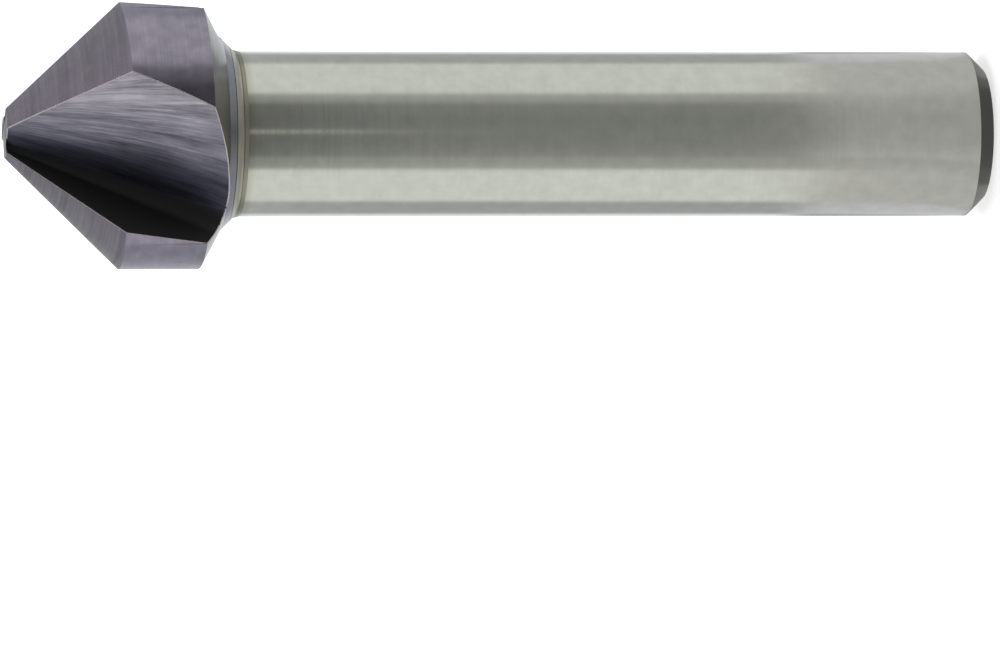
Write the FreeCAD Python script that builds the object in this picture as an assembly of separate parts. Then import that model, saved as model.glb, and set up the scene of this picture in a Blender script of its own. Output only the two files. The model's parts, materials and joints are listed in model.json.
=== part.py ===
import FreeCAD, Part
import math
import os

# A countersink bit, ground from one piece of steel.
# Millimetres and degrees. The tool's axis is Z. The shank's flat end is at z = 0 and
# the nose points up. A depth is counted from the nose down the axis.

# Main sizes
OVERALL_LENGTH = 60.0
HEAD_DIAMETER = 16.5
NOSE_DIAMETER = 3.2
POINT_ANGLE = 90.0
SHANK_DIAMETER = 10.0
SHANK_CHAMFER = 1.0

# Behind the point
LAND_LENGTH = 5.0
BACK_FACE_ANGLE = 61.0
BACK_CONE_ANGLE = 45.0
BACK_CONE_STEP = 0.83
NECK_STEP = 0.12
NECK_LENGTH = 0.42

# Cutting lips and the clearance ground behind them
LIP_COUNT = 3
FIRST_LIP_ANGLE = -15.0
CONE_OFFSET = 0.25
CONE_LEAN = 1.1
MARGIN_LEAD = 20.0
MARGIN_OFFSET = 0.18

# V-shaped flutes, each ground by one straight pass of a wheel
FLUTE_CORE_RADIUS = 0.89
FLUTE_RUN_OUT = 0.1
HEEL_WALL_TURN = 8.5
RAKE_ANGLE = 11.2
FLUTE_ROOT_AT_NOSE = 0.3
FLUTE_ROOT_AT_REAR = 1.45
FLUTE_OVERRUN = 2.0

# Sizes that follow from the ones above
head_radius = HEAD_DIAMETER / 2
nose_radius = NOSE_DIAMETER / 2
shank_radius = SHANK_DIAMETER / 2
neck_radius = shank_radius + NECK_STEP
ring_radius = neck_radius + BACK_CONE_STEP
point_slope = math.tan(math.radians(POINT_ANGLE / 2))
point_depth = (head_radius - nose_radius) / point_slope
land_depth = point_depth + LAND_LENGTH
ring_depth = land_depth + (head_radius - ring_radius) / math.tan(math.radians(BACK_FACE_ANGLE))
neck_depth = ring_depth + BACK_CONE_STEP / math.tan(math.radians(BACK_CONE_ANGLE))
shank_depth = neck_depth + NECK_LENGTH
lip_pitch = 360.0 / LIP_COUNT
far_reach = 2 * HEAD_DIAMETER


def polar(radius, angle, z=0.0):
    """A point from a radius and an angle in degrees round the tool's axis."""
    turn = math.radians(angle)
    return FreeCAD.Vector(radius * math.cos(turn), radius * math.sin(turn), z)


def revolved(profile):
    """A solid turned about Z from (radius, height) pairs."""
    points = [FreeCAD.Vector(radius, 0, z) for radius, z in profile]
    outline = Part.makePolygon(points + [points[0]])
    return Part.Face(outline).revolve(FreeCAD.Vector(0, 0, 0), FreeCAD.Vector(0, 0, 1), 360)


def turned_blank():
    """Shank, neck and back faces, with spare stock where the lobes are ground."""
    stock = head_radius + 1.0
    stock_depth = land_depth - (stock - head_radius) / math.tan(math.radians(BACK_FACE_ANGLE))
    return revolved([
        (0, 0),
        (shank_radius - SHANK_CHAMFER, 0),
        (shank_radius, SHANK_CHAMFER),
        (shank_radius, OVERALL_LENGTH - shank_depth),
        (neck_radius, OVERALL_LENGTH - neck_depth),
        (ring_radius, OVERALL_LENGTH - ring_depth),
        (stock, OVERALL_LENGTH - stock_depth),
        (stock, OVERALL_LENGTH),
        (0, OVERALL_LENGTH),
    ])


def ground_cone(lip_angle):
    """The point's cone. It leans towards its own flute, so it clears behind the lip."""
    slant = math.radians(POINT_ANGLE / 2)
    lean = math.radians(CONE_LEAN)
    half_angle = math.acos(math.cos(lean) * math.cos(slant))
    tip_height = OVERALL_LENGTH + (nose_radius - CONE_OFFSET) / point_slope
    tip = polar(CONE_OFFSET, lip_angle, tip_height)
    axis = polar(math.sin(lean), lip_angle + 90, -math.cos(lean))
    height = 2 * OVERALL_LENGTH
    return Part.makeCone(0, height * math.tan(half_angle), height, tip, axis)


def ground_margin(lip_angle):
    """The cylinder behind the point, ground a little off centre."""
    radius = head_radius - MARGIN_OFFSET * math.cos(math.radians(MARGIN_LEAD))
    return Part.makeCylinder(radius, OVERALL_LENGTH, polar(MARGIN_OFFSET, lip_angle + MARGIN_LEAD))


def lobe_sector(lip_angle):
    """The wedge that one lobe fills, from inside its own flute to the next one."""
    start = lip_angle + 3 * lip_pitch / 8
    angles = [start, start - lip_pitch / 3, start - 2 * lip_pitch / 3, start - lip_pitch]
    corners = [FreeCAD.Vector(0, 0, 0)] + [polar(far_reach, angle) for angle in angles]
    face = Part.Face(Part.makePolygon(corners + [corners[0]]))
    return face.extrude(FreeCAD.Vector(0, 0, OVERALL_LENGTH))


def lobe(lip_angle):
    """One land with its clearance, cut to its own sector."""
    ground = ground_cone(lip_angle).common(ground_margin(lip_angle))
    return ground.common(lobe_sector(lip_angle))


def flute_corner(depth):
    """Where the rake face meets the heel wall at a depth, with the lip along X."""
    turn = math.radians(HEEL_WALL_TURN)
    rake = math.tan(math.radians(RAKE_ANGLE))
    wall_slope = (ring_radius - FLUTE_RUN_OUT - FLUTE_CORE_RADIUS) / ring_depth
    wall = FLUTE_CORE_RADIUS + wall_slope * depth
    lip = nose_radius + point_slope * depth
    x = (wall + rake * math.sin(turn) * lip) / (math.cos(turn) + rake * math.sin(turn))
    return FreeCAD.Vector(x, rake * (x - lip), OVERALL_LENGTH - depth)


def flute_root_radius(depth):
    """The root's radius at a depth: it opens out towards the shank."""
    share = depth / ring_depth
    return FLUTE_ROOT_AT_NOSE + (FLUTE_ROOT_AT_REAR - FLUTE_ROOT_AT_NOSE) * share


def flute_section(depth):
    """Corners of the V at a depth, from the rake face round to the heel wall, and its root."""
    corner = flute_corner(depth)
    radius = flute_root_radius(depth)
    along_rake = polar(1, RAKE_ANGLE)
    along_wall = polar(1, 90 + HEEL_WALL_TURN)
    half = math.radians(90 + HEEL_WALL_TURN - RAKE_ANGLE) / 2
    flat = radius / math.tan(half)
    centre_line = (along_rake + along_wall).normalize()
    bottom = corner + centre_line * (radius / math.sin(half) - radius)
    corners = [
        corner + along_rake * flat,
        corner + along_rake * far_reach,
        corner + (along_rake + along_wall) * far_reach,
        corner + along_wall * far_reach,
        corner + along_wall * flat,
    ]
    root = Part.Arc(corners[-1], bottom, corners[0]).toShape()
    return corners, root


def flat_face(corners):
    """A flat face with straight edges."""
    return Part.Face(Part.makePolygon(corners + [corners[0]]))


def flute(lip_angle):
    """The steel that one straight pass of the wheel takes away."""
    top, top_root = flute_section(-FLUTE_OVERRUN)
    low, low_root = flute_section(ring_depth + FLUTE_OVERRUN)
    faces = [
        flat_face([top[i], top[i + 1], low[i + 1], low[i]])
        for i in range(len(top) - 1)
    ]
    faces.append(Part.makeRuledSurface(top_root, low_root))
    for corners, root in ((top, top_root), (low, low_root)):
        faces.append(Part.Face(Part.Wire(Part.makePolygon(corners).Edges + [root])))
    shell = Part.makeShell(faces)
    shell.sewShape()
    cut = Part.makeSolid(shell)
    cut.rotate(FreeCAD.Vector(0, 0, 0), FreeCAD.Vector(0, 0, 1), lip_angle)
    return cut


def countersink_bit():
    """The whole bit as one solid."""
    lip_angles = [FIRST_LIP_ANGLE + lip_pitch * index for index in range(LIP_COUNT)]
    lobes = [lobe(angle) for angle in lip_angles]
    ground = lobes[0].multiFuse(lobes[1:])
    shape = turned_blank().common(ground)
    for angle in lip_angles:
        shape = shape.cut(flute(angle))
    return shape.removeSplitter().Solids[0]


os.makedirs("parts", exist_ok=True)
countersink_bit().exportStep("parts/countersink_bit.step")
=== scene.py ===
import json
import logging
import math
from dataclasses import dataclass, field
from enum import Enum

import bpy
from mathutils import Matrix, Vector

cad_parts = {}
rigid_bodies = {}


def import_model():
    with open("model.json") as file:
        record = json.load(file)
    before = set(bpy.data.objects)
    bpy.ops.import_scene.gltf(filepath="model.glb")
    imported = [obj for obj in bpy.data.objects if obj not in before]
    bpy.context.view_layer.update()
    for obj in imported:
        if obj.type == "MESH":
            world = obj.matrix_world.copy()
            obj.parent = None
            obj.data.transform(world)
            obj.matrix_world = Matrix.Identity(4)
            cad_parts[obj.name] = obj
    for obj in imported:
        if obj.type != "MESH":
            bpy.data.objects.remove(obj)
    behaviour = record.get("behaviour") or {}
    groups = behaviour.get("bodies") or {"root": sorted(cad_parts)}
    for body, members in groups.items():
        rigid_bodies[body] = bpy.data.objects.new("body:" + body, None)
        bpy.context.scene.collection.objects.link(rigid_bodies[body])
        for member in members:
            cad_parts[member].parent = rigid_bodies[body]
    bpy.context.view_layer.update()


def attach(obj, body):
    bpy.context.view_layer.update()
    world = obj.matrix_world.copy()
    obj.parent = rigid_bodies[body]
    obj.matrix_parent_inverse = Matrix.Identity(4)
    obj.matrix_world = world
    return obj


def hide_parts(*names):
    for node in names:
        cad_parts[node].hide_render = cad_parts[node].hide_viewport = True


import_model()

LOG = logging.getLogger("countersink_bit")
MM = 0.001
BIT_LENGTH = 60.0
HEEL_TURN = 8.5
# Off every line of symmetry, so that no two edges are equally far from it
SORT_POINT = (31.7, 53.3, 97.1)

Colour = tuple[float, float, float]
Span = tuple[float, float]
Socket = bpy.types.NodeSocket


class Lay(Enum):
    """Which way the marks of the last cut run over a surface."""

    ROUND = "round the tool's axis"
    FACED = "rings on a flat end"
    FLUTE = "along the wheel's pass"


class Joint(Enum):
    """How two closed shapes are combined."""

    UNION = "UNION"
    DIFFERENCE = "DIFFERENCE"
    INTERSECT = "INTERSECT"


class Pick(Enum):
    """What edit mode selects."""

    CORNERS = "VERT"
    EDGES = "EDGE"
    FACES = "FACE"


class Blend(Enum):
    """How a second colour acts on the first."""

    MIX = "MIX"
    MULTIPLY = "MULTIPLY"


def level_direction(angle: float) -> Vector:
    """Level direction at an angle in degrees round the tool's axis."""
    turn = math.radians(angle)
    return Vector((math.cos(turn), math.sin(turn), 0))


def studio_direction(azimuth: float, elevation: float) -> Vector:
    """Direction away from the bit, towards the camera or a lamp.

    Args:
        azimuth: Degrees from the camera's side towards +X.
        elevation: Degrees above the floor.

    Returns:
        The direction, one unit long.
    """
    turn, lift = math.radians(azimuth), math.radians(elevation)
    return Vector((math.sin(turn) * math.cos(lift), -math.cos(turn) * math.cos(lift), math.sin(lift)))


class Edit:
    """The few edit mode moves that every shape here is made with."""

    @staticmethod
    def clear() -> None:
        """Deselect every object."""
        bpy.ops.object.select_all(action="DESELECT")

    @staticmethod
    def only(piece: bpy.types.Object) -> None:
        """Select one object and make it active.

        Args:
            piece: The object that the next operator acts on.
        """
        Edit.clear()
        piece.select_set(True)
        bpy.context.view_layer.objects.active = piece

    @staticmethod
    def open(pick: Pick, every: bool = True) -> None:
        """Go into edit mode on the active object.

        Args:
            pick: What is selected from here on.
            every: Whether everything is selected, or nothing.
        """
        bpy.ops.object.mode_set(mode="EDIT")
        bpy.ops.mesh.select_mode(type=pick.value)
        bpy.ops.mesh.select_all(action="SELECT" if every else "DESELECT")

    @staticmethod
    def close() -> None:
        """Go back to object mode."""
        bpy.ops.object.mode_set(mode="OBJECT")

    @staticmethod
    def turn_outwards() -> None:
        """Make every face of the open mesh point outwards."""
        bpy.ops.mesh.select_all(action="SELECT")
        bpy.ops.mesh.normals_make_consistent(inside=False)

    @staticmethod
    def settle(piece: bpy.types.Object) -> None:
        """Put a mesh's parts in a fixed order, because the cuts leave a new one in each run.

        Args:
            piece: The shape whose corners, faces and edges are put in order.
        """
        mesh = piece.data
        order = sorted(range(len(mesh.vertices)), key=lambda index: tuple(mesh.vertices[index].co))
        place = {old: new for new, old in enumerate(order)}
        points = [tuple(mesh.vertices[index].co) for index in order]
        rings = []
        for face in mesh.polygons:
            ring = [place[index] for index in face.vertices]
            first = ring.index(min(ring))
            rings.append((ring[first:] + ring[:first], face.material_index))
        rings.sort()
        mesh.clear_geometry()
        mesh.from_pydata(points, [], [ring for ring, _ in rings])
        mesh.polygons.foreach_set("material_index", [slot for _, slot in rings])
        Edit.only(piece)
        bpy.context.scene.cursor.location = SORT_POINT
        Edit.open(Pick.CORNERS)
        bpy.ops.mesh.sort_elements(type="CURSOR_DISTANCE", elements={"EDGE"})
        Edit.close()
        bpy.context.scene.cursor.location = (0, 0, 0)

    @staticmethod
    def combine(piece: bpy.types.Object, other: bpy.types.Object, joint: Joint) -> None:
        """Combine two closed shapes and drop the second one.

        Args:
            piece: The shape that is kept.
            other: The shape that it is joined to, cut by or limited to.
            joint: How they are combined.
        """
        Edit.only(piece)
        bpy.ops.object.modifier_add(type="BOOLEAN")
        modifier = piece.modifiers[-1]
        modifier.operation = joint.value
        modifier.solver = "EXACT"
        modifier.material_mode = "TRANSFER"
        modifier.object = other
        bpy.ops.object.modifier_apply(modifier=modifier.name)
        bpy.data.objects.remove(other)


@dataclass(frozen=True)
class BitSizes:
    """Sizes of the bit in millimetres and degrees, as in the part's source."""

    length: float = BIT_LENGTH
    head_radius: float = 8.25
    nose_radius: float = 1.6
    half_point: float = 45.0
    shank_radius: float = 5.0
    shank_chamfer: float = 1.0
    land_length: float = 5.0
    back_face_angle: float = 61.0
    back_cone_step: float = 0.83
    neck_step: float = 0.12
    neck_length: float = 0.42
    lip_count: int = 3
    first_lip: float = -15.0
    cone_offset: float = 0.25
    cone_lean: float = 1.1
    margin_lead: float = 20.0
    margin_offset: float = 0.18
    core_radius: float = 0.89
    run_out: float = 0.1
    heel_turn: float = HEEL_TURN
    rake_angle: float = 11.2
    root_at_nose: float = 0.3
    root_at_rear: float = 1.45
    segments: int = 144

    @property
    def neck_radius(self) -> float:
        """Radius where the back cone ends."""
        return self.shank_radius + self.neck_step

    @property
    def ring_radius(self) -> float:
        """Radius of the ring between the two back faces."""
        return self.neck_radius + self.back_cone_step

    @property
    def point_height(self) -> float:
        """Height of the corner between the 90 degree point and the cylinder."""
        return self.length - (self.head_radius - self.nose_radius)

    @property
    def rear_height(self) -> float:
        """Height of the cylinder's rear corner."""
        return self.point_height - self.land_length

    @property
    def ring_height(self) -> float:
        """Height of the ring between the two back faces."""
        fall = (self.head_radius - self.ring_radius) / math.tan(math.radians(self.back_face_angle))
        return self.rear_height - fall

    @property
    def neck_height(self) -> float:
        """Height where the back cone ends."""
        return self.ring_height - self.back_cone_step

    @property
    def shank_top(self) -> float:
        """Height where the plain shank begins."""
        return self.neck_height - self.neck_length

    @property
    def lip_angles(self) -> list[float]:
        """Angles of the cutting lips round the axis."""
        return [self.first_lip + 360.0 / self.lip_count * index for index in range(self.lip_count)]

    def back_radius(self, height: float) -> float:
        """Radius of the neck and the back cone at a height.

        Args:
            height: Height above the shank's flat end.

        Returns:
            The radius at that height.
        """
        if height > self.neck_height:
            return self.neck_radius + height - self.neck_height
        return self.shank_radius + self.neck_step * (height - self.shank_top) / self.neck_length

    def root_radius(self, height: float) -> float:
        """Radius of a flute's root, which opens out towards the shank.

        Args:
            height: Height above the shank's flat end.

        Returns:
            The radius at that height.
        """
        share = (self.length - height) / (self.length - self.ring_height)
        return self.root_at_nose + (self.root_at_rear - self.root_at_nose) * share

    def flute_corner(self, height: float) -> Vector:
        """Where the rake face meets the heel wall, with the lip along X.

        Args:
            height: Height above the shank's flat end.

        Returns:
            The corner at that height.
        """
        depth = self.length - height
        turn = math.radians(self.heel_turn)
        rake = math.tan(math.radians(self.rake_angle))
        rise = self.ring_radius - self.run_out - self.core_radius
        slope = rise / (self.length - self.ring_height)
        wall = self.core_radius + slope * depth
        lip = self.nose_radius + depth
        x = (wall + rake * math.sin(turn) * lip) / (math.cos(turn) + rake * math.sin(turn))
        return Vector((x, rake * (x - lip), height))


@dataclass(frozen=True)
class Grain:
    """One layer of noise in a finish, and the part of its range that is used."""

    scale: float
    detail: float
    rough: float
    span: Span


FINE_MARKS = Grain(1.0, 5.0, 0.65, (0.32, 0.68))
BROAD_MARKS = Grain(0.17, 2.0, 0.5, (0.35, 0.65))
CLOUDS = Grain(1100.0, 4.0, 0.5, (0.3, 0.7))


class Board:
    """A node board, with short ways to place and join nodes."""

    def __init__(self, owner: bpy.types.Material | bpy.types.World) -> None:
        """Open the board of a material or of the surroundings.

        Args:
            owner: What the nodes belong to.
        """
        self.owner = owner
        owner.use_nodes = True
        self.tree = owner.node_tree

    @property
    def shader(self) -> bpy.types.Node:
        """The material's main shader."""
        return next(node for node in self.tree.nodes if node.type == "BSDF_PRINCIPLED")

    @property
    def place(self) -> Socket:
        """Where a point is on the object."""
        return self.put("ShaderNodeTexCoord").outputs["Object"]

    @property
    def sight(self) -> Socket:
        """One where the camera looks, and zero for light and reflections."""
        return self.put("ShaderNodeLightPath").outputs["Is Camera Ray"]

    def put(self, kind: str, inputs: dict | None = None, **settings) -> bpy.types.Node:
        """Place a node.

        Args:
            kind: The node's type name.
            inputs: Values or sockets for its inputs, by name or number.
            settings: Attributes of the node itself.

        Returns:
            The new node.
        """
        node = self.tree.nodes.new(kind)
        for key, value in settings.items():
            setattr(node, key, value)
        for key, value in (inputs or {}).items():
            if isinstance(value, Socket):
                self.tree.links.new(value, node.inputs[key])
            else:
                node.inputs[key].default_value = value
        return node

    def math(self, operation: str, first: Socket | float, second: Socket | float) -> Socket:
        """Place a Math node.

        Args:
            operation: The operation's name.
            first: First value or socket.
            second: Second value or socket.

        Returns:
            The result's socket.
        """
        return self.put("ShaderNodeMath", {0: first, 1: second}, operation=operation).outputs[0]

    def add(self, first: Socket | float, second: Socket | float) -> Socket:
        """Add two values."""
        return self.math("ADD", first, second)

    def minus(self, first: Socket | float, second: Socket | float) -> Socket:
        """Take the second value from the first."""
        return self.math("SUBTRACT", first, second)

    def times(self, first: Socket | float, second: Socket | float) -> Socket:
        """Multiply two values."""
        return self.math("MULTIPLY", first, second)

    def over(self, first: Socket | float, second: Socket | float) -> Socket:
        """Divide the first value by the second."""
        return self.math("DIVIDE", first, second)

    def larger(self, first: Socket | float, second: Socket | float) -> Socket:
        """Keep the larger of two values."""
        return self.math("MAXIMUM", first, second)

    def parts(self, vector: Socket) -> bpy.types.NodeOutputs:
        """Split a vector into its three parts."""
        return self.put("ShaderNodeSeparateXYZ", {0: vector}).outputs

    def length(self, vector: Socket) -> Socket:
        """Measure how long a vector is."""
        return self.put("ShaderNodeVectorMath", {0: vector}, operation="LENGTH").outputs["Value"]

    def dot(self, vector: Socket, direction: Vector) -> Socket:
        """Measure a vector along a fixed direction.

        Args:
            vector: The vector's socket.
            direction: The direction, as long as the wanted scale.

        Returns:
            The socket with the measure.
        """
        inputs = {0: vector, 1: tuple(direction)}
        return self.put("ShaderNodeVectorMath", inputs, operation="DOT_PRODUCT").outputs["Value"]

    def noise(self, vector: Socket, grain: Grain) -> Socket:
        """Place a noise texture.

        Args:
            vector: Where the noise is read.
            grain: Its scale and how rough it is.

        Returns:
            The socket with a value near one half.
        """
        inputs = {"Vector": vector, "Scale": grain.scale, "Detail": grain.detail,
                  "Roughness": grain.rough}
        return self.put("ShaderNodeTexNoise", inputs).outputs["Fac"]

    def spread(self, value: Socket, span: Span, target: Span = (0.0, 1.0)) -> Socket:
        """Stretch a value to a new range and hold it there.

        Args:
            value: The value's socket.
            span: The two values that become the ends of the new range.
            target: The ends of the new range.

        Returns:
            The socket with the new value.
        """
        inputs = {0: value, 1: span[0], 2: span[1], 3: target[0], 4: target[1]}
        return self.put("ShaderNodeMapRange", inputs, clamp=True).outputs[0]

    def mix(self, share: Socket | float, first: Socket | Colour, second: Socket | Colour,
            blend: Blend = Blend.MIX) -> Socket:
        """Mix two colours.

        Args:
            share: How much of the second, as a number or socket.
            first: First colour or socket.
            second: Second colour or socket.
            blend: How the second acts on the first.

        Returns:
            The socket with the mixed colour.
        """
        node = self.put("ShaderNodeMix", data_type="RGBA", blend_type=blend.value)
        for slot, value in ((0, share), (6, first), (7, second)):
            if isinstance(value, Socket):
                self.tree.links.new(value, node.inputs[slot])
            else:
                node.inputs[slot].default_value = value if slot == 0 else (*value, 1.0)
        return node.outputs[2]

    def ramp(self, value: Socket, stops: list[tuple[float, Colour]]) -> Socket:
        """Read a colour off a row of stops.

        Args:
            value: The value's socket, from 0 to 1.
            stops: Places from 0 to 1, each with its colour.

        Returns:
            The socket with the colour.
        """
        node = self.put("ShaderNodeValToRGB", {0: value})
        scale = node.color_ramp
        while len(scale.elements) < len(stops):
            scale.elements.new(1.0)
        for element, (place, colour) in zip(scale.elements, stops):
            element.position = place
            element.color = (*colour, 1.0)
        return node.outputs[0]

    def drive(self, name: str, socket: Socket) -> None:
        """Feed one of the shader's inputs.

        Args:
            name: The input's name.
            socket: What feeds it.
        """
        self.tree.links.new(socket, self.shader.inputs[name])


@dataclass(frozen=True)
class HeelWall:
    """Where a flute's heel wall lies, and how its painted shade and marks run over it.

    Lengths are in millimetres and depths are counted from the nose.
    """

    normal_rise: float = 0.383
    facing: Span = (0.93, 0.995)
    root_slope: float = 0.176
    root_at_nose: float = 0.5
    reach_slope: float = 0.5
    reach_at_nose: float = 3.9
    fade: Span = (0.30, 1.15)
    mark_bow: float = 0.0099
    fan_centre: float = 6.0
    fan_radius: float = 14.0
    root_roughness: float = 0.6
    rough_share: float = 0.35


WALL = HeelWall()


@dataclass(frozen=True)
class CutSteel:
    """A ground or turned steel surface, bare or under a thin coating.

    The marks' numbers across and along are counts in a millimetre. The shares are those of
    the broad marks, the fine marks and the clouds. A shadow is painted shade, the colour of the
    rake face and root, and painted_root_shade is painted shade multiplied in towards the root.
    """

    name: str
    dark: Colour
    light: Colour
    lay: Lay = Lay.ROUND
    turn: float = 0.0
    roughness: Span = (0.25, 0.4)
    across: float = 14.0
    along: float = 0.25
    groove: float = 0.0006
    strength: float = 0.35
    shares: tuple[float, float, float] = (0.2, 0.4, 0.4)
    shadow: Colour | None = None
    painted_root_shade: Colour = (1.0, 1.0, 1.0)
    anisotropic: float = 0.0
    tint: Colour | None = None
    tint_heights: Span = (0.0, 0.0)

    def wall_share(self, board: Board) -> Socket:
        """How much a place belongs to the heel wall, and not to the rake face.

        Args:
            board: The material's board.

        Returns:
            The socket, one on the wall and zero on the rake face and root.
        """
        heel = math.radians(HEEL_TURN + self.turn)
        out = Vector((math.cos(heel), math.sin(heel), WALL.normal_rise)).normalized()
        facing = board.dot(board.put("ShaderNodeTexCoord").outputs["Normal"], out)
        return board.spread(facing, WALL.facing)

    def on_wall(self, board: Board) -> tuple[Socket, Socket]:
        """Where a place is on the heel wall, in millimetres.

        Args:
            board: The material's board.

        Returns:
            The sockets of the depth below the nose and of the height above the root.
        """
        heel = math.radians(HEEL_TURN + self.turn)
        side = board.dot(board.place, Vector((-math.sin(heel), math.cos(heel), 0)) / MM)
        depth = board.minus(BIT_LENGTH, board.dot(board.place, Vector((0, 0, 1 / MM))))
        root = board.add(board.times(depth, WALL.root_slope), WALL.root_at_nose)
        return depth, board.add(side, root)

    def depth_share(self, board: Board) -> Socket:
        """How far up the heel wall a place is, as a share of the flute's depth there.

        Args:
            board: The material's board.

        Returns:
            The socket, zero near the root and one at the heel's edge.
        """
        depth, height = self.on_wall(board)
        reach = board.add(board.times(depth, WALL.reach_slope), WALL.reach_at_nose)
        return board.spread(board.over(height, reach), WALL.fade)

    def round_marks(self, board: Board) -> Socket:
        """Coordinates of marks that run round the tool's axis.

        Args:
            board: The material's board.

        Returns:
            The vector's socket.
        """
        scale = (self.along / MM, self.along / MM, self.across / MM)
        return board.put("ShaderNodeMapping", {"Vector": board.place, "Scale": scale}).outputs[0]

    def faced_marks(self, board: Board) -> Socket:
        """Coordinates of marks that run in rings on a flat end.

        Args:
            board: The material's board.

        Returns:
            The vector's socket.
        """
        inputs = {0: board.place, 1: (1, 1, 0)}
        flat = board.put("ShaderNodeVectorMath", inputs, operation="MULTIPLY").outputs[0]
        parts = board.parts(board.place)
        rings = {
            0: board.times(board.length(flat), self.across / MM),
            1: board.times(parts[0], self.along / MM),
            2: board.times(parts[1], self.along / MM),
        }
        return board.put("ShaderNodeCombineXYZ", rings).outputs[0]

    def flute_marks(self, board: Board) -> Socket:
        """Coordinates of marks that fan out along the wheel's pass through a flute.

        Args:
            board: The material's board.

        Returns:
            The vector's socket.
        """
        depth, height = self.on_wall(board)
        bow = board.times(board.times(depth, depth), WALL.mark_bow)
        fan = board.over(board.add(height, bow), board.add(depth, WALL.fan_centre))
        rake = board.dot(board.place, level_direction(self.turn) / MM)
        share = self.wall_share(board)
        wall_part = board.times(board.times(fan, WALL.fan_radius), share)
        rake_part = board.times(rake, board.minus(1.0, share))
        marks = {
            0: board.times(board.add(wall_part, rake_part), self.across),
            1: board.times(depth, self.along),
        }
        return board.put("ShaderNodeCombineXYZ", marks).outputs[0]

    def colour(self, board: Board, shade: Socket) -> Socket:
        """Colour the surface, with the flute's painted shade and a heat tint where it has them.

        Args:
            board: The material's board.
            shade: The socket with the place between dark and light.

        Returns:
            The socket with the colour.
        """
        colour = board.mix(shade, self.dark, self.light)
        if self.shadow is not None:
            # Painted shade: the heel wall darkens towards the root, and the rake face and root take the
            # dark shadow colour.
            depth = board.minus(1.0, self.depth_share(board))
            colour = board.mix(depth, colour, self.painted_root_shade, Blend.MULTIPLY)
            colour = board.mix(self.wall_share(board), self.shadow, colour)
        if self.tint is not None:
            low, high = self.tint_heights
            band = board.spread(board.parts(board.place)[2], (low * MM, high * MM))
            colour = board.mix(band, colour, self.tint)
        return colour

    def rough(self, board: Board, marks: Socket) -> Socket:
        """Roughen the surface between its marks, and more in a flute's root and rake face.

        Args:
            board: The material's board.
            marks: The socket of the fine marks, from 0 to 1.

        Returns:
            The socket with the roughness.
        """
        low, high = self.roughness
        rough = board.spread(marks, (0.0, 1.0), (high, low))
        if self.shadow is not None:
            fall = (WALL.root_roughness, 0.0)
            rough = board.larger(rough, board.spread(self.wall_share(board), (0.0, 1.0), fall))
            root = board.spread(self.depth_share(board), (0.0, WALL.rough_share), fall)
            rough = board.larger(rough, root)
        return rough

    def make(self) -> bpy.types.Material:
        """Build the material.

        Returns:
            The finished material.
        """
        board = Board(bpy.data.materials.new(self.name))
        lays = {Lay.ROUND: self.round_marks, Lay.FACED: self.faced_marks, Lay.FLUTE: self.flute_marks}
        marks_at = lays[self.lay](board)
        fine = board.noise(marks_at, FINE_MARKS)
        marks = board.spread(fine, FINE_MARKS.span)
        broad = board.spread(board.noise(marks_at, BROAD_MARKS), BROAD_MARKS.span)
        clouds = board.spread(board.noise(board.place, CLOUDS), CLOUDS.span)
        shade = board.times(broad, self.shares[0])
        for layer, share in zip((marks, clouds), self.shares[1:]):
            shade = board.add(shade, board.times(layer, share))
        board.drive("Base Color", self.colour(board, shade))
        board.drive("Roughness", self.rough(board, marks))
        bump = {"Strength": self.strength, "Distance": self.groove * MM, "Height": fine}
        board.drive("Normal", board.put("ShaderNodeBump", bump).outputs[0])
        board.shader.inputs["Metallic"].default_value = 1.0
        if self.anisotropic:
            board.shader.inputs["Anisotropic"].default_value = self.anisotropic
            tangent = board.put("ShaderNodeTangent", direction_type="RADIAL", axis="Z")
            board.drive("Tangent", tangent.outputs[0])
        return board.owner


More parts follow.
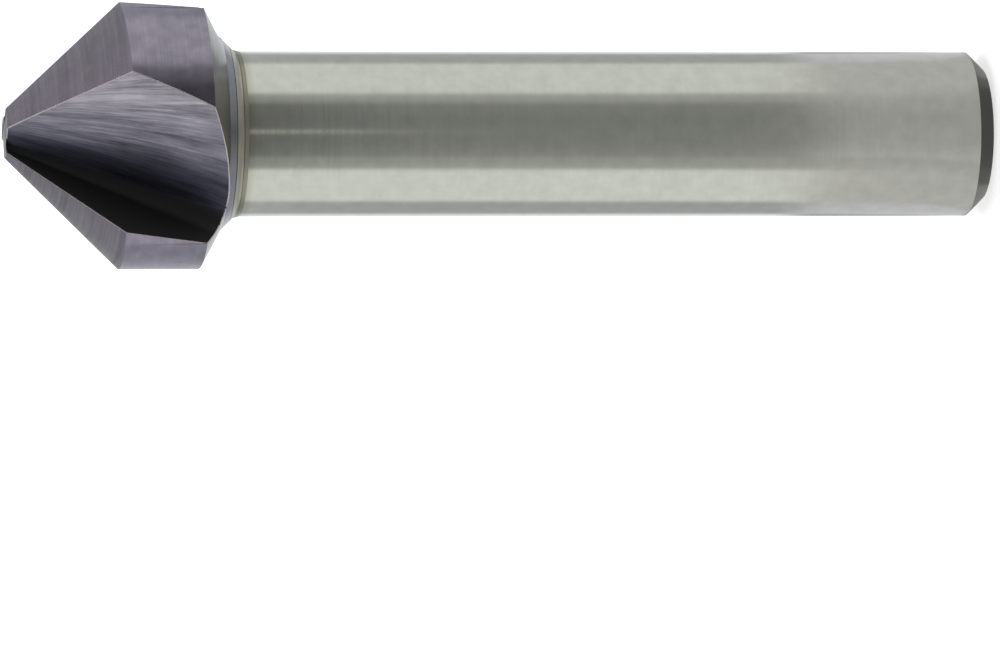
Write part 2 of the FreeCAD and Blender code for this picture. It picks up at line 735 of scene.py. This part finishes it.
@dataclass
class TurnedBlank:
    """The bit as it comes off the lathe: shank, neck and back faces."""

    sizes: BitSizes
    finishes: dict[str, bpy.types.Material]
    spare_stock: float = 1.0
    stain_length: float = 0.24
    stain_line: float = 0.07
    coating_below_ring: float = 0.53
    rim_length: float = 0.06
    touching_floor: float = 1e-4
    facing_up: float = 0.99

    def outline(self) -> list[tuple[float, float, str]]:
        """Run up the blank's side, from the end chamfer to the spare stock at the nose.

        Returns:
            Radius and height of each ring, with the finish of the band below it.
        """
        s = self.sizes
        stock = s.head_radius + self.spare_stock
        stock_rise = self.spare_stock / math.tan(math.radians(s.back_face_angle))
        stain = s.shank_top + self.stain_length
        line = stain + self.stain_line
        bare = s.ring_height - self.coating_below_ring
        rim = bare + self.rim_length
        return [
            (s.shank_radius, s.shank_chamfer, "end_chamfer"),
            (s.shank_radius, s.shank_top, "shank_ground"),
            (s.back_radius(stain), stain, "heat_stain"),
            (s.back_radius(line), line, "heat_line"),
            (s.neck_radius, s.neck_height, "neck_band"),
            (s.back_radius(bare), bare, "neck_band"),
            (s.back_radius(rim), rim, "coating_rim"),
            (s.ring_radius, s.ring_height, "back_cone"),
            (stock, s.rear_height + stock_rise, "back_face"),
            (stock, s.length, "back_face"),
        ]

    def build(self) -> bpy.types.Object:
        """Turn the blank ring by ring.

        Returns:
            The blank, in millimetres.
        """
        s = self.sizes
        Edit.clear()
        radius = s.shank_radius - s.shank_chamfer
        bpy.ops.mesh.primitive_circle_add(vertices=s.segments, radius=radius, fill_type="NGON")
        blank = bpy.context.object
        Edit.open(Pick.FACES)
        height = 0.0
        for ring, level, _ in self.outline():
            move = {"value": (0, 0, level - height)}
            bpy.ops.mesh.extrude_region_move(TRANSFORM_OT_translate=move)
            bpy.ops.transform.resize(value=(ring / radius, ring / radius, 1))
            radius, height = ring, level
        Edit.turn_outwards()
        Edit.close()
        self.dress(blank)
        return blank

    def dress(self, blank: bpy.types.Object) -> None:
        """Give each band its finish.

        Args:
            blank: The turned blank.
        """
        bands = self.outline()
        names = ["shank_end", *(finish for _, _, finish in bands), "nose_flat"]
        for finish in dict.fromkeys(names):
            blank.data.materials.append(self.finishes[finish])
        for face in blank.data.polygons:
            if face.center.z < self.touching_floor:
                continue
            finish = next((f for _, level, f in bands if face.center.z < level), "back_face")
            if face.normal.z > self.facing_up:
                finish = "nose_flat"
            face.material_index = blank.data.materials.find(finish)


@dataclass
class GroundLobe:
    """One land with the clearance ground behind its lip."""

    sizes: BitSizes
    point_finish: bpy.types.Material
    margin_finish: bpy.types.Material
    cone_depth: float = 1.5 * BIT_LENGTH
    margin_depth: float = BIT_LENGTH + 4.0
    overlap: float = 0.02

    def cone(self, lip: float) -> bpy.types.Object:
        """The point's cone, leaning towards its own flute.

        Args:
            lip: The lip's angle.

        Returns:
            The cone as a closed shape.
        """
        s = self.sizes
        lean = math.radians(s.cone_lean)
        half = math.acos(math.cos(lean) * math.cos(math.radians(s.half_point)))
        Edit.clear()
        bpy.ops.mesh.primitive_cone_add(
            vertices=s.segments, radius1=self.cone_depth * math.tan(half), radius2=0,
            depth=self.cone_depth, location=(0, 0, -self.cone_depth / 2))
        cone = bpy.context.object
        bpy.ops.object.transform_apply(location=True, rotation=False, scale=False)
        cone.data.transform(Matrix.Rotation(lean, 4, "X"))
        tip = (s.cone_offset, 0, s.length + s.nose_radius - s.cone_offset)
        cone.data.transform(Matrix.Rotation(math.radians(lip), 4, "Z") @ Matrix.Translation(tip))
        cone.data.materials.append(self.point_finish)
        return cone

    def margin(self, lip: float) -> bpy.types.Object:
        """The cylinder behind the point, ground a little off centre.

        Args:
            lip: The lip's angle.

        Returns:
            The cylinder as a closed shape.
        """
        s = self.sizes
        turn = math.radians(lip + s.margin_lead)
        radius = s.head_radius - s.margin_offset * math.cos(math.radians(s.margin_lead))
        place = (s.margin_offset * math.cos(turn), s.margin_offset * math.sin(turn), s.length / 2)
        Edit.clear()
        bpy.ops.mesh.primitive_cylinder_add(
            vertices=s.segments, radius=radius, depth=self.margin_depth, location=place)
        margin = bpy.context.object
        bpy.ops.object.transform_apply(location=True, rotation=False, scale=False)
        margin.data.materials.append(self.margin_finish)
        return margin

    def build(self, lip: float) -> bpy.types.Object:
        """Grind one land and trim it to its own third of the head.

        Args:
            lip: The lip's angle.

        Returns:
            The lobe as a closed shape.
        """
        lobe = self.cone(lip)
        Edit.combine(lobe, self.margin(lip), Joint.INTERSECT)
        pitch = 360.0 / self.sizes.lip_count
        ahead = lip + 3 * pitch / 8
        for angle in (ahead + 90, ahead - pitch - 90):
            outward = level_direction(angle)
            Edit.only(lobe)
            Edit.open(Pick.CORNERS)
            bpy.ops.mesh.bisect(plane_co=outward * self.overlap, plane_no=outward,
                                use_fill=True, clear_outer=True, clear_inner=False)
            Edit.close()
        return lobe


@dataclass
class FluteWheel:
    """The grinding wheel's path, as the wedge of steel that one pass removes."""

    sizes: BitSizes
    overrun: float = 2.0
    reach: float = 26.0
    root_steps: int = 14

    def section(self, height: float) -> bpy.types.Object:
        """Draw the V with its rounded root, level at a height.

        Args:
            height: Height above the shank's flat end.

        Returns:
            The V as one flat face, with the lip along X.
        """
        s = self.sizes
        half = math.radians(90 + s.heel_turn - s.rake_angle) / 2
        middle = math.radians(s.rake_angle) + half
        side = 2 * self.reach * math.cos(half)
        Edit.clear()
        bpy.ops.mesh.primitive_plane_add(size=side / math.sqrt(2))
        face = bpy.context.object
        square = Matrix.Rotation(math.radians(45), 4, "Z")
        stretch = Matrix.Diagonal((1, math.tan(half), 1, 1))
        face.data.transform(Matrix.Translation((side / 2, 0, 0)) @ stretch @ square)
        Edit.open(Pick.CORNERS, every=False)
        Edit.close()
        min(face.data.vertices, key=lambda vertex: vertex.co.x).select = True
        bpy.ops.object.mode_set(mode="EDIT")
        bpy.ops.mesh.bevel(offset=s.root_radius(height) / math.tan(half), segments=self.root_steps,
                           affect="VERTICES", offset_type="OFFSET")
        Edit.close()
        face.data.transform(Matrix.Translation(s.flute_corner(height)) @ Matrix.Rotation(middle, 4, "Z"))
        return face

    def build(self, lip: float, finish: bpy.types.Material) -> bpy.types.Object:
        """Join two sections into the wedge that one pass takes away.

        Args:
            lip: Angle of the lip that the pass leaves.
            finish: The flute's finish.

        Returns:
            The wedge as a closed shape.
        """
        s = self.sizes
        wedge = self.section(s.length + self.overrun)
        other = self.section(s.ring_height - self.overrun)
        Edit.only(wedge)
        other.select_set(True)
        bpy.ops.object.join()
        Edit.open(Pick.EDGES)
        bpy.ops.mesh.bridge_edge_loops()
        bpy.ops.mesh.select_all(action="SELECT")
        bpy.ops.mesh.fill_holes(sides=0)
        Edit.turn_outwards()
        Edit.close()
        wedge.data.transform(Matrix.Rotation(math.radians(lip), 4, "Z"))
        wedge.data.materials.append(finish)
        return wedge


@dataclass
class WornEdges:
    """The sharp edges that the flutes leave, broken by use so that bare metal shows, with a pale painted
    highlight along the narrow bevel.

    Edges shorter than the shortest one are left over from cutting and stay as they are.
    """

    width: float = 0.05
    stray_gap: float = 0.02
    shortest: float = 0.1
    double_gap: float = 0.002

    def sharp(self, bit: bpy.types.Object) -> list[bpy.types.MeshEdge]:
        """Find the edges between a flute and any other surface.

        Args:
            bit: The ground bit, in millimetres.

        Returns:
            The edges that are long enough to be broken.
        """
        names = [material.name for material in bit.data.materials]
        beside: dict[tuple[int, int], set[bool]] = {}
        for face in bit.data.polygons:
            for edge in face.edge_keys:
                beside.setdefault(edge, set()).add(names[face.material_index].startswith("flute"))
        found = []
        for edge in bit.data.edges:
            first, last = (bit.data.vertices[index].co for index in edge.vertices)
            if len(beside[edge.key]) == 2 and (first - last).length > self.shortest:
                found.append(edge)
        return found

    def build(self, bit: bpy.types.Object, finish: bpy.types.Material) -> None:
        """Break the edges with a narrow bevel.

        Args:
            bit: The ground bit, in millimetres.
            finish: Finish of the narrow worn line, painted pale as an edge highlight.
        """
        Edit.settle(bit)
        Edit.open(Pick.CORNERS)
        bpy.ops.mesh.remove_doubles(threshold=self.stray_gap)
        Edit.close()
        bit.data.materials.append(finish)
        Edit.open(Pick.EDGES, every=False)
        Edit.close()
        for edge in self.sharp(bit):
            edge.select = True
        bpy.ops.object.mode_set(mode="EDIT")
        bpy.ops.mesh.bevel(offset=self.width, segments=1, affect="EDGES", clamp_overlap=False,
                           material=bit.data.materials.find(finish.name))
        bpy.ops.mesh.select_all(action="SELECT")
        bpy.ops.mesh.remove_doubles(threshold=self.double_gap)
        Edit.close()


@dataclass
class CountersinkBit:
    """The whole bit, ground from one piece."""

    sizes: BitSizes = field(default_factory=BitSizes)
    edges: WornEdges = field(default_factory=WornEdges)
    tint_length: float = 0.5
    smooth_angle: float = 10.0

    def coated_finishes(self) -> list[CutSteel]:
        """Finishes of the coated head and of its worn edges, which carry a painted highlight.

        Returns:
            The finishes that run round the axis.
        """
        return [
            CutSteel("point_land", (0.203, 0.182, 0.215), (0.390, 0.355, 0.412), across=7, along=0.1,
                     roughness=(0.20, 0.32), shares=(0.2, 0.6, 0.2), anisotropic=0.3),
            CutSteel("margin_land", (0.225, 0.205, 0.262), (0.350, 0.320, 0.405), across=12, along=0.1,
                     roughness=(0.16, 0.22), shares=(0.1, 0.3, 0.6), anisotropic=0.3),
            CutSteel("back_face", (0.15, 0.15, 0.148), (0.205, 0.205, 0.20),
                     across=10, roughness=(0.14, 0.22)),
            CutSteel("back_cone", (0.185, 0.195, 0.22), (0.25, 0.26, 0.285),
                     across=10, roughness=(0.14, 0.22)),
            CutSteel("coating_rim", (0.035, 0.035, 0.045), (0.07, 0.07, 0.085), across=6),
            # The worn edge line is painted pale and pinkish as an edge highlight.
            CutSteel("worn_edge_highlight", (0.82, 0.74, 0.80), (0.95, 0.86, 0.93),
                     across=6, roughness=(0.75, 0.9)),
        ]

    def bare_finishes(self) -> list[CutSteel]:
        """Finishes of the nose, the neck and the shank, with the heat stain between them.

        Returns:
            The finishes, none of them coated.
        """
        top = self.sizes.shank_top
        return [
            CutSteel("nose_flat", (0.20, 0.21, 0.21), (0.34, 0.35, 0.35), lay=Lay.FACED),
            CutSteel("neck_band", (0.34, 0.34, 0.295), (0.46, 0.455, 0.40), across=10),
            CutSteel("heat_line", (0.15, 0.135, 0.10), (0.22, 0.20, 0.155), across=6),
            CutSteel("heat_stain", (0.25, 0.245, 0.205), (0.34, 0.335, 0.28), across=6),
            CutSteel("shank_ground", (0.565, 0.57, 0.535), (0.64, 0.645, 0.605),
                     across=20, along=0.1, roughness=(0.12, 0.18), shares=(0.08, 0.12, 0.8),
                     strength=0.12, anisotropic=0.2, tint=(0.48, 0.47, 0.40),
                     tint_heights=(top - self.tint_length, top)),
            CutSteel("end_chamfer", (0.43, 0.43, 0.41), (0.53, 0.53, 0.505), across=9),
            CutSteel("shank_end", (0.22, 0.22, 0.21), (0.40, 0.39, 0.37), lay=Lay.FACED, across=7),
        ]

    def flute_finish(self, index: int) -> CutSteel:
        """Finish of one flute: a bright heel wall with painted shade towards the root, and a rake face
        and root painted in a dark shadow colour.

        Args:
            index: Which flute it is, counted from the first lip.

        Returns:
            The finish, turned with its flute.
        """
        return CutSteel(
            f"flute_ground_{index}", (0.11, 0.105, 0.13), (0.655, 0.61, 0.715), lay=Lay.FLUTE,
            turn=self.sizes.lip_angles[index], across=6.0, along=0.35, roughness=(0.26, 0.42),
            groove=0.0035, shares=(0.4, 0.5, 0.1), shadow=(0.085, 0.085, 0.09),
            painted_root_shade=(0.235, 0.25, 0.31))

    def finishes(self) -> dict[str, bpy.types.Material]:
        """Make every finish of the bit.

        Returns:
            The materials by their names.
        """
        flutes = [self.flute_finish(index) for index in range(self.sizes.lip_count)]
        recipes = self.coated_finishes() + self.bare_finishes() + flutes
        return {recipe.name: recipe.make() for recipe in recipes}

    def build(self) -> bpy.types.Object:
        """Turn, grind and flute the bit, then set it down in metres.

        Returns:
            The finished bit.
        """
        s = self.sizes
        made = self.finishes()
        grinder = GroundLobe(s, made["point_land"], made["margin_land"])
        lobes = [grinder.build(lip) for lip in s.lip_angles]
        ground = lobes[0]
        for lobe in lobes[1:]:
            Edit.combine(ground, lobe, Joint.UNION)
        bit = TurnedBlank(s, made).build()
        Edit.combine(bit, ground, Joint.INTERSECT)
        wheel = FluteWheel(s)
        for index, lip in enumerate(s.lip_angles):
            wedge = wheel.build(lip, made[f"flute_ground_{index}"])
            Edit.combine(bit, wedge, Joint.DIFFERENCE)
        self.edges.build(bit, made["worn_edge_highlight"])
        bit.name = "countersink_bit_ground"
        bit.data.name = bit.name
        Edit.only(bit)
        bit.scale = (MM, MM, MM)
        bpy.ops.object.transform_apply(location=False, rotation=False, scale=True)
        bpy.ops.object.shade_smooth_by_angle(angle=math.radians(self.smooth_angle))
        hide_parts("countersink_bit")
        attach(bit, "root")
        return bit


@dataclass(frozen=True)
class Bands:
    """Brightness of the surroundings by direction, as the steel reflects them."""

    right: float
    left: float
    step: float
    front: float
    behind: float
    back: float

    def stops(self, side: Colour, rear: Colour) -> list[tuple[float, Colour]]:
        """Place the bands round the bit, zero degrees being the camera's side.

        Args:
            side: Tint of the front and the sides.
            rear: Tint of what lies behind the bit.

        Returns:
            Places from 0 to 1 for a full turn, each with its colour.
        """
        step_end, front_end, front_edge = self.step * 0.9, self.front * 1.1, self.front * 1.3
        rows = [
            (-180, self.back, rear), (-155, self.back, rear),
            (-145, self.behind, rear), (-112, self.behind, rear),
            (-106, self.left, side), (-53, self.left, side),
            (-49, self.step, side), (-35, step_end, side),
            (-31, front_edge, side), (-14, front_end, side),
            (20, self.front, side), (40, front_end, side),
            (45, step_end, side), (54, self.step, side),
            (59, self.right, side), (111, self.right, side),
            (118, self.behind, rear), (145, self.behind, rear),
            (155, self.back, rear), (180, self.back, rear),
        ]
        return [(turn / 360 + 0.5, tuple(level * part for part in tint)) for turn, level, tint in rows]


@dataclass(frozen=True)
class Softbox:
    """One soft lamp that faces the bit. Its angles are seen from the bit."""

    name: str
    azimuth: float
    elevation: float
    distance: float
    size: Span
    power: float
    target_height: float = 0.03

    def hang(self) -> None:
        """Hang the lamp at its distance in metres."""
        data = bpy.data.lights.new(self.name, "AREA")
        data.shape = "RECTANGLE"
        data.size, data.size_y = self.size
        data.energy = self.power
        lamp = bpy.data.objects.new(self.name, data)
        bpy.context.scene.collection.objects.link(lamp)
        away = studio_direction(self.azimuth, self.elevation)
        lamp.location = away * self.distance + Vector((0, 0, self.target_height))
        lamp.rotation_euler = away.to_track_quat("Z", "Y").to_euler()


@dataclass
class PhotoCamera:
    """The camera at the photograph's viewing angle, in millimetres and degrees."""

    aim: tuple[float, float, float] = (-12.2076, 0.0, 29.744)
    distance: float = 600.0
    azimuth: float = 1.9314
    elevation: float = 9.4088
    roll: float = 0.1291
    lens: float = 355.64
    sensor: float = 36.0
    clip: Span = (0.01, 20.0)

    def build(self) -> None:
        """Place the camera, lying on its side so that the bit's nose is on the left."""
        data = bpy.data.cameras.new("photo_camera")
        data.lens = self.lens
        data.sensor_width = self.sensor
        data.clip_start, data.clip_end = self.clip
        camera = bpy.data.objects.new("photo_camera", data)
        bpy.context.scene.collection.objects.link(camera)
        back = studio_direction(self.azimuth, self.elevation)
        right = (-back).cross(Vector((1, 0, 0))).normalized()
        up = right.cross(-back)
        roll = math.radians(self.roll)
        across = right * math.cos(roll) + up * math.sin(roll)
        upward = up * math.cos(roll) - right * math.sin(roll)
        place = (Vector(self.aim) + back * self.distance) * MM
        pose = Matrix((across, upward, back)).transposed().to_4x4()
        camera.matrix_world = Matrix.Translation(place) @ pose
        bpy.context.scene.camera = camera


@dataclass
class Studio:
    """Floor, lamp and surroundings, white to the camera and banded to the steel.

    Reaches are distances on the floor in metres. The floor's far end is reflected near the
    shank's top and its near end at the foot. Turns are shares of a full turn.
    """

    camera: PhotoCamera = field(default_factory=PhotoCamera)
    lamp: Softbox = Softbox("softbox_behind", 172, 58, 0.8, (0.6, 0.6), 2.6)
    near_bands: Bands = Bands(0.64, 0.66, 0.61, 0.49, 0.75, 0.45)
    floor_bands: Bands = Bands(0.86, 0.92, 0.50, 0.28, 0.50, 0.95)
    far_bands: Bands = Bands(0.92, 0.92, 0.26, 0.03, 0.66, 0.66)
    air_bands: Bands = Bands(0.55, 0.98, 0.20, 0.02, 0.50, 0.44)
    side_tint: Colour = (0.98, 1.0, 0.95)
    rear_tint: Colour = (0.97, 1.0, 1.02)
    near_tint: Colour = (1.0, 0.97, 1.0)
    ceiling: Colour = (0.46, 0.46, 0.475)
    ceiling_lift: Span = (0.65, 0.90)
    gap_light: Colour = (1.0, 1.0, 0.92)
    gap_right: Span = (0.4965, 0.4985)
    gap_left: Span = (0.5140, 0.5120)
    gap_reach: Span = (0.282, 0.298)
    under_shade: float = 0.6
    under_reach: Span = (0.0055, 0.009)
    near_reach: Span = (0.056, 0.067)
    far_reach: Span = (0.335, 0.35)
    floor_size: float = 6.0
    floor_glow: float = 0.62
    floor_white: Colour = (0.88, 0.88, 0.88)

    def bearing(self, board: Board, place: Socket) -> Socket:
        """Measure a direction round the bit, one half being the camera's.

        Args:
            board: The board that the nodes go on.
            place: A direction or a point round the axis.

        Returns:
            The socket, from 0 to 1 for a full turn.
        """
        parts = board.parts(place)
        angle = board.math("ARCTAN2", parts[0], board.times(parts[1], -1.0))
        return board.add(board.times(angle, 0.5 / math.pi), 0.5 - self.camera.azimuth / 360)

    def banded(self, board: Board, bearing: Socket, bands: Bands) -> Socket:
        """Colour of the surroundings by the direction round the bit.

        Args:
            board: The board that the nodes go on.
            bearing: The direction's socket.
            bands: How bright each direction is.

        Returns:
            The socket with the colour.
        """
        return board.ramp(bearing, bands.stops(self.side_tint, self.rear_tint))

    def gap(self, board: Board, bearing: Socket, reach: Socket) -> Socket:
        """The narrow light gap in the dark front, far out on the floor.

        Args:
            board: The board that the nodes go on.
            bearing: The direction's socket.
            reach: The socket with the distance from the axis.

        Returns:
            The socket, one inside the gap.
        """
        right = board.spread(bearing, self.gap_right)
        left = board.spread(bearing, self.gap_left)
        return board.times(board.times(right, left), board.spread(reach, self.gap_reach))

    def world(self) -> None:
        """Light the bit from both sides and leave the camera's side dark."""
        world = bpy.data.worlds.new("studio_air")
        bpy.context.scene.world = world
        board = Board(world)
        board.tree.nodes.clear()
        away = board.put("ShaderNodeTexCoord").outputs["Generated"]
        colour = self.banded(board, self.bearing(board, away), self.air_bands)
        above = board.spread(board.parts(away)[2], self.ceiling_lift)
        colour = board.mix(above, colour, self.ceiling)
        colour = board.mix(board.sight, colour, (1, 1, 1))
        shade = board.put("ShaderNodeBackground", {"Color": colour, "Strength": 1.0})
        board.put("ShaderNodeOutputWorld", {"Surface": shade.outputs[0]})

    def card(self, board: Board) -> Socket:
        """Colour of the floor as the steel reflects it.

        Args:
            board: The floor's board.

        Returns:
            The socket with the colour.
        """
        reach = board.length(board.place)
        bearing = self.bearing(board, board.place)
        middle = self.banded(board, bearing, self.floor_bands)
        middle = board.mix(self.gap(board, bearing, reach), middle, self.gap_light)
        far = self.banded(board, bearing, self.far_bands)
        near = board.mix(1.0, self.banded(board, bearing, self.near_bands), self.near_tint,
                         Blend.MULTIPLY)
        under = board.mix(self.under_shade, middle, (0, 0, 0))
        colour = board.mix(board.spread(reach, self.far_reach), middle, far)
        colour = board.mix(board.spread(reach, self.near_reach), near, colour)
        return board.mix(board.spread(reach, self.under_reach), under, colour)

    def floor(self) -> bpy.types.Object:
        """Lay the pale floor, white to the camera and still taking the shadow.

        Returns:
            The floor.
        """
        Edit.clear()
        bpy.ops.mesh.primitive_plane_add(size=self.floor_size, location=(0, 0, 0))
        floor = bpy.context.object
        floor.name = "studio_floor"
        board = Board(bpy.data.materials.new("studio_floor"))
        board.tree.nodes.clear()
        card = board.put("ShaderNodeEmission", {"Color": self.card(board)})
        glow = board.put("ShaderNodeEmission", {"Color": (1, 1, 1, 1), "Strength": self.floor_glow})
        matt = board.put("ShaderNodeBsdfDiffuse", {"Color": (*self.floor_white, 1)})
        seen = board.put("ShaderNodeAddShader", {0: glow.outputs[0], 1: matt.outputs[0]})
        inputs = {0: board.sight, 1: card.outputs[0], 2: seen.outputs[0]}
        shade = board.put("ShaderNodeMixShader", inputs)
        board.put("ShaderNodeOutputMaterial", {"Surface": shade.outputs[0]})
        floor.data.materials.append(board.owner)
        return floor

    def build(self) -> bpy.types.Object:
        """Set the whole studio up.

        Returns:
            The floor.
        """
        self.world()
        floor = self.floor()
        self.lamp.hang()
        self.camera.build()
        bpy.context.scene.view_settings.view_transform = "Standard"
        return floor


def main() -> None:
    """Build the bit and its studio, and report each piece."""
    logging.basicConfig(level=logging.INFO, format="%(name)s: %(message)s")
    bit = CountersinkBit().build()
    LOG.info("%s: %d faces", bit.name, len(bit.data.polygons))
    floor = Studio().build()
    lamps = sum(1 for piece in bpy.data.objects if piece.type == "LIGHT")
    LOG.info("%s: %d faces, with %d lamp", floor.name, len(floor.data.polygons), lamps)


if __name__ == "__main__":
    main()
